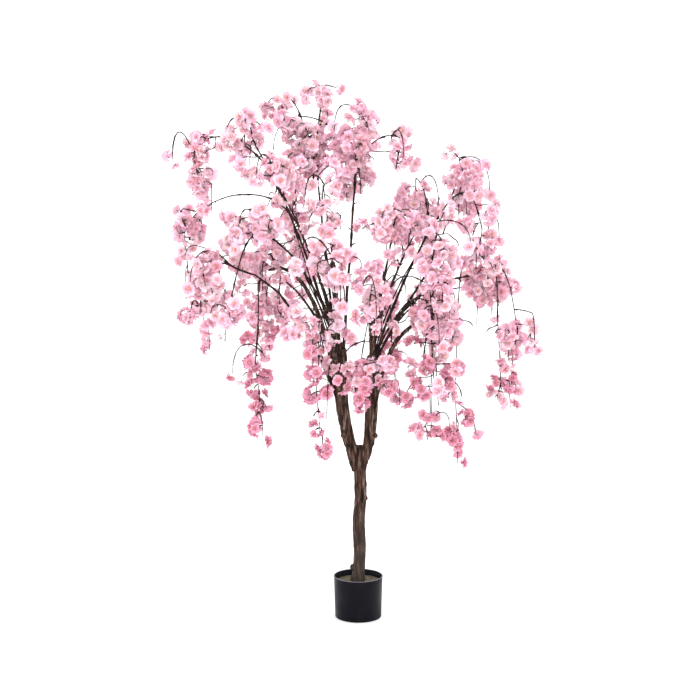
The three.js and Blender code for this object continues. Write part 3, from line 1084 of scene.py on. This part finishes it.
def scatterGroup(kinds):
    # puts one of the blooms on every point, turned and sized by the point's own values, and makes them real
    group = bpy.data.node_groups.new("bloomScatter", "GeometryNodeTree")
    group.interface.new_socket("Geometry", in_out="INPUT", socket_type="NodeSocketGeometry")
    group.interface.new_socket("Geometry", in_out="OUTPUT", socket_type="NodeSocketGeometry")
    given = group.nodes.new("NodeGroupInput")
    out = group.nodes.new("NodeGroupOutput")
    source = group.nodes.new("GeometryNodeCollectionInfo")
    source.inputs["Collection"].default_value = kinds
    source.inputs["Separate Children"].default_value = True
    source.inputs["Reset Children"].default_value = True
    place = group.nodes.new("GeometryNodeInstanceOnPoints")
    place.inputs["Pick Instance"].default_value = True
    real = group.nodes.new("GeometryNodeRealizeInstances")
    for attribute, kind, socket in (("kind", "INT", "Instance Index"), ("turn", "FLOAT_VECTOR", "Rotation"),
                                    ("size", "FLOAT", "Scale")):
        read = group.nodes.new("GeometryNodeInputNamedAttribute")
        read.data_type = kind
        read.inputs["Name"].default_value = attribute
        group.links.new(read.outputs["Attribute"], place.inputs[socket])
    group.links.new(given.outputs[0], place.inputs["Points"])
    group.links.new(source.outputs[0], place.inputs["Instance"])
    group.links.new(place.outputs[0], real.inputs[0])
    group.links.new(real.outputs[0], out.inputs[0])
    return group


# the places of all flower sprays so far, by cell, so that neighbouring masses share the room
taken = {}


def roomAt(point, spacing):
    cell = tuple(math.floor(c / spacing) for c in point)
    for dx in (-1, 0, 1):
        for dy in (-1, 0, 1):
            for dz in (-1, 0, 1):
                for other in taken.get((cell[0] + dx, cell[1] + dy, cell[2] + dz), ()):
                    if (point - other).length < spacing:
                        return False
    taken.setdefault(cell, []).append(point)
    return True


def sprayPlaces(mass):
    # seeded places through the mass, no two nearer than the spacing, in clumps with room for the sky between
    places = []
    for i in range(round(mass.litres * 20 * bloom["tries"]) + 60):
        point = Vector([rng.uniform(mass.low[k], mass.high[k]) for k in range(3)])
        if mass.depth(point) < bloom["sprayInside"]:
            continue
        if noise.noise(point * bloom["clumps"]) < bloom["sparse"]:
            continue
        if withinBox(point, bloom["stalk"]) == point and roomAt(point, bloom["spacing"]):
            places.append(point)
    return places


def growMass(mass):
    # the leading twig, a side twig to every spray, then bows and strings that carry loose flowers
    rng.seed(mass.name)
    runs = []
    tails = []
    points, radii = leadTwig(mass)
    points, radii = knobbed(points, radii, "lead")
    runs.append((points, radii))
    runs += stubs(points, radii, *twigStubs["lead"])
    net = [joint for joint in joints(points) if mass.depth(joint[0]) > -0.05]
    places = sprayPlaces(mass)
    places.sort(key=lambda goal: min((goal - point).length for point, heading in net))
    for goal in places:
        start, heading = nearestJoint(net, goal)
        points, radii = sideTwig(start, heading, goal)
        net += joints(points)
        runs.append(knobbed(points, radii, "side"))
    for i in range(bows["perMass"] if mass.high.z < cadHigh.z - bows["headroom"] else 0):
        high = [joint[0] for joint in net if joint[0].z > mass.middle.z]
        points = bowTwig(mass, rng.choice(high or [mass.middle]))
        radii = thinning(len(points), twig["archRadius"], twig["tipRadius"])
        runs.append(knobbed(points, radii, "bow"))
        runs += stubs(points, radii, *twigStubs["bow"])
        tails.append(points[-1])
    low = [joint[0] for joint in net if joint[0].z < mass.middle.z]
    for i in range(round(mass.size.x / strings["every"])):
        start = rng.choice(low or [mass.middle])
        points = hangingString(start, rng.uniform(strings["shortest"], strings["longest"]))
        radii = thinning(len(points), twig["sideRadius"], twig["tipRadius"])
        runs.append(knobbed(points, radii, "string"))
        tails.append(points[-1])
        tails += [point for point in points[2:-2:2] if rng.random() < strings["knots"]]
    return runs, places, tails


def bloomsAt(mass, spot, tint, cluster):
    # a few blooms round one place; those of a mass keep inside its outline
    centre = mass.middle if mass else Vector((0, 0, spot.z))
    outward = spot - centre
    outward = Vector((outward.x, outward.y, outward.z * 0.6)).normalized()
    lean = (outward * bloom["outward"] + randomUnit() * bloom["stray"] - up * bloom["droop"]).normalized()
    made = []
    wanted = rng.choice(cluster)
    for i in range(wanted * 5):
        facing = (lean + randomUnit() * bloom["splay"]).normalized()
        size = rng.uniform(*bloom["size"])
        place = spot + facing * bloom["stalk"] * size
        if withinBox(place, bloom["margin"]) != place or mass and mass.depth(place) < bloom["inside"]:
            continue
        if any((place - other[0]).length < bloom["apart"] for other in made):
            continue
        roll = Matrix.Rotation(rng.uniform(0, math.tau), 3, "Z")
        turn = (facing.to_track_quat("Z", "Y").to_matrix() @ roll).to_euler("XYZ")
        made.append((place, Vector(turn), size, tint * shapesPerTint + rng.randrange(shapesPerTint)))
        if len(made) == wanted:
            break
    return made


regions = ("left", "right", "top", "low", "back")
regionEdges = {"back": 0.15, "top": 1.42, "low": 1.02}        # y, z and z


def regionOf(point):
    if point.y > regionEdges["back"]:
        return "back"
    if point.z > regionEdges["top"]:
        return "top"
    if point.z < regionEdges["low"]:
        return "low"
    return "left" if point.x < 0 else "right"


def pickTint(height):
    lowShare = max(0.0, min(1.0, (dusk["below"] - height) / dusk["over"]))
    if rng.random() < dusk["share"] * lowShare:
        return tintNames.index("dusk")
    return tintNames.index(rng.choice(upperTints))


def frontPlace(point):
    # where a point is seen from the front, across and up, on the plane through the trunk
    stretch = eye.y / (eye.y - point.y)
    return Vector((eye.x + (point.x - eye.x) * stretch, eye.z + (point.z - eye.z) * stretch))


def gapColumns():
    columns = []
    for first, second, share, radius in openGaps:
        middle = masses["blossom_" + first].middle.lerp(masses["blossom_" + second].middle, share)
        columns.append((frontPlace(middle), radius))
    return columns


def stemsInSight():
    # the foot of every limb and the upper part of both boughs, as seen from the front
    spots = []
    for points, radii in limbPaths.values():
        count = round(len(points) * sight["limbShare"])
        spots += [(frontPlace(p), r + sight["margin"], p.y) for p, r in zip(points[:count], radii)]
    for name in ("bough_left", "bough_right"):
        points, radii = verticalLine(name, 16)
        first = round(len(points) * (1 - sight["boughShare"]))
        spots += [(frontPlace(p), r + sight["margin"], p.y) for p, r in zip(points[first:], radii[first:])]
    return spots


def leftOut(blooms):
    # drops the flowers that would close a gap, and most of those that would hide the stems
    rng.seed("sight")
    columns = gapColumns()
    stems = stemsInSight()
    kept = []
    for made in blooms:
        seen = frontPlace(made[0])
        closes = any((seen - middle).length < radius for middle, radius in columns)
        hides = any(made[0].y < depth and (seen - middle).length < radius for middle, radius, depth in stems)
        if not closes and not (hides and rng.random() < sight["chance"]):
            kept.append(made)
    return kept


def looseSpots():
    # sprays that hang free a little way off each mass, on every side of the crown
    spots = []
    for mass in masses.values():
        rng.seed(mass.name + "loose")
        for i in range(loose["tries"]):
            point = mass.middle + randomUnit() * max(mass.size) * 0.62
            if not loose["near"] < -mass.depth(point) < loose["far"]:
                continue
            if math.hypot(point.x, point.y) < loose["fromTrunk"]:
                continue
            if withinBox(point, twig["margin"]) != point:
                continue
            if any(other.depth(point) > 0 for other in masses.values()):
                continue
            if all((point - other).length > loose["apart"] for other in spots):
                spots.append(point)
    return spots


def makeKinds():
    # a few shapes of bloom in every tint, in a collection that the scatter picks from
    cloths = makePetalCloths()
    kinds = bpy.data.collections.new("bloomKinds")
    bpy.context.scene.collection.children.link(kinds)
    for t, tint in enumerate(tintNames):
        for s in range(shapesPerTint):
            shape = bloomShape(f"bloom_{t}_{s}", tint, cloths, 31 * t + s)
            bpy.context.collection.objects.unlink(shape)
            kinds.objects.link(shape)
    return kinds


def growCrown():
    # twigs and blooms of every mass, then sprays that hang free beside them
    twigRuns = []
    blooms = []
    for mass in masses.values():
        runs, spots, tails = growMass(mass)
        twigRuns += runs
        for spot in spots:
            blooms += bloomsAt(mass, spot, pickTint(spot.z), bloom["cluster"])
        for spot in tails:
            blooms += bloomsAt(None, spot, pickTint(spot.z), bloom["few"])
    print("masses grown:", len(twigRuns), "twigs and", len(blooms), "blooms")
    net = []
    for points, radii in list(limbPaths.values()) + twigRuns:
        net += joints(points)
    for place, goal in enumerate(looseSpots()):
        rng.seed(place)
        start, heading = nearestJoint(net, goal)
        points, radii = sideTwig(start, heading, goal)
        twigRuns.append(knobbed(points, radii, "side"))
        blooms += bloomsAt(None, goal, pickTint(goal.z), bloom["cluster"])
    print("crown grown:", len(twigRuns), "twigs and", len(blooms), "blooms")
    return twigRuns, blooms


def buildBlossom(name, blooms, group):
    bm = bmesh.new()
    turn = bm.verts.layers.float_vector.new("turn")
    size = bm.verts.layers.float.new("size")
    kind = bm.verts.layers.int.new("kind")
    for place, angles, scale, which in blooms:
        v = bm.verts.new(place)
        v[turn] = angles
        v[size] = scale
        v[kind] = which
    piece = addMesh("blossom_" + name, bm, [])
    scatter = piece.modifiers.new("scatter", "NODES")
    scatter.node_group = group
    piece = settle(piece)
    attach(piece, "root")
    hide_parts(*[mass.name for mass in masses.values() if regionOf(mass.middle) == name])
    triangles = sum(len(f.vertices) - 2 for f in piece.data.polygons)
    print("blossom", name, triangles, "triangles", len(piece.data.materials), "materials")


def buildTwigs(runs):
    twigs = tubes("twigs", runs, 1)
    for f in twigs.data.polygons:
        f.use_smooth = True
    twigs.data.materials.append(twigBark)
    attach(twigs, "root")
    print("twigs", sum(len(f.vertices) - 2 for f in twigs.data.polygons), "triangles")


def buildCrown():
    kinds = makeKinds()
    group = scatterGroup(kinds)
    twigRuns, blooms = growCrown()
    kept = leftOut(blooms)
    for name in regions:
        buildBlossom(name, [made for made in kept if regionOf(made[0]) == name], group)
    for shape in list(kinds.objects):
        bpy.data.objects.remove(shape)
    bpy.data.collections.remove(kinds)
    buildTwigs(twigRuns)


buildCrown()


stage = {
    "floor": 0.96,
    "floorSize": 40,
    "skyStrength": 1.6,
    # name, place, size and power
    "lamps": (
        ("frontLight", (-0.5, -4.4, 1.5), 1.6, 60),
        ("backLight", (0.9, 4.2, 2.4), 2.6, 40),
    ),
    "lampAim": 0.95,
    "lens": 52.14,
    "sensor": 36,
    "aimHeight": 0.907,
}


def buildStage():
    bm = bmesh.new()
    bmesh.ops.create_grid(bm, x_segments=1, y_segments=1, size=stage["floorSize"])
    floorPaint = newMaterial("paleFloor", (stage["floor"],) * 3, 0.9, Specular_IOR_Level=0.1)[0]
    floor = addMesh("floor", bm, [floorPaint])
    world = bpy.data.worlds.new("softSky")
    world.use_nodes = True
    world.node_tree.nodes["Background"].inputs["Color"].default_value = (1, 1, 1, 1)
    world.node_tree.nodes["Background"].inputs["Strength"].default_value = stage["skyStrength"]
    bpy.context.scene.world = world
    for name, place, size, power in stage["lamps"]:
        lamp = bpy.data.lights.new(name, "AREA")
        lamp.size = size
        lamp.energy = power
        obj = bpy.data.objects.new(name, lamp)
        obj.location = place
        aim = Vector((0, 0, stage["lampAim"])) - Vector(place)
        obj.rotation_euler = aim.to_track_quat("-Z", "Y").to_euler()
        bpy.context.collection.objects.link(obj)


def buildCamera():
    lens = bpy.data.cameras.new("frontView")
    lens.lens = stage["lens"]
    lens.sensor_width = stage["sensor"]
    camera = bpy.data.objects.new("frontView", lens)
    camera.location = eye
    aim = Vector((eye.x, 0, stage["aimHeight"]))
    camera.rotation_euler = (aim - camera.location).to_track_quat("-Z", "Y").to_euler()
    bpy.context.collection.objects.link(camera)
    bpy.context.scene.camera = camera


buildStage()
buildCamera()
bpy.context.scene.view_settings.view_transform = "Standard"
print("stage and camera made")
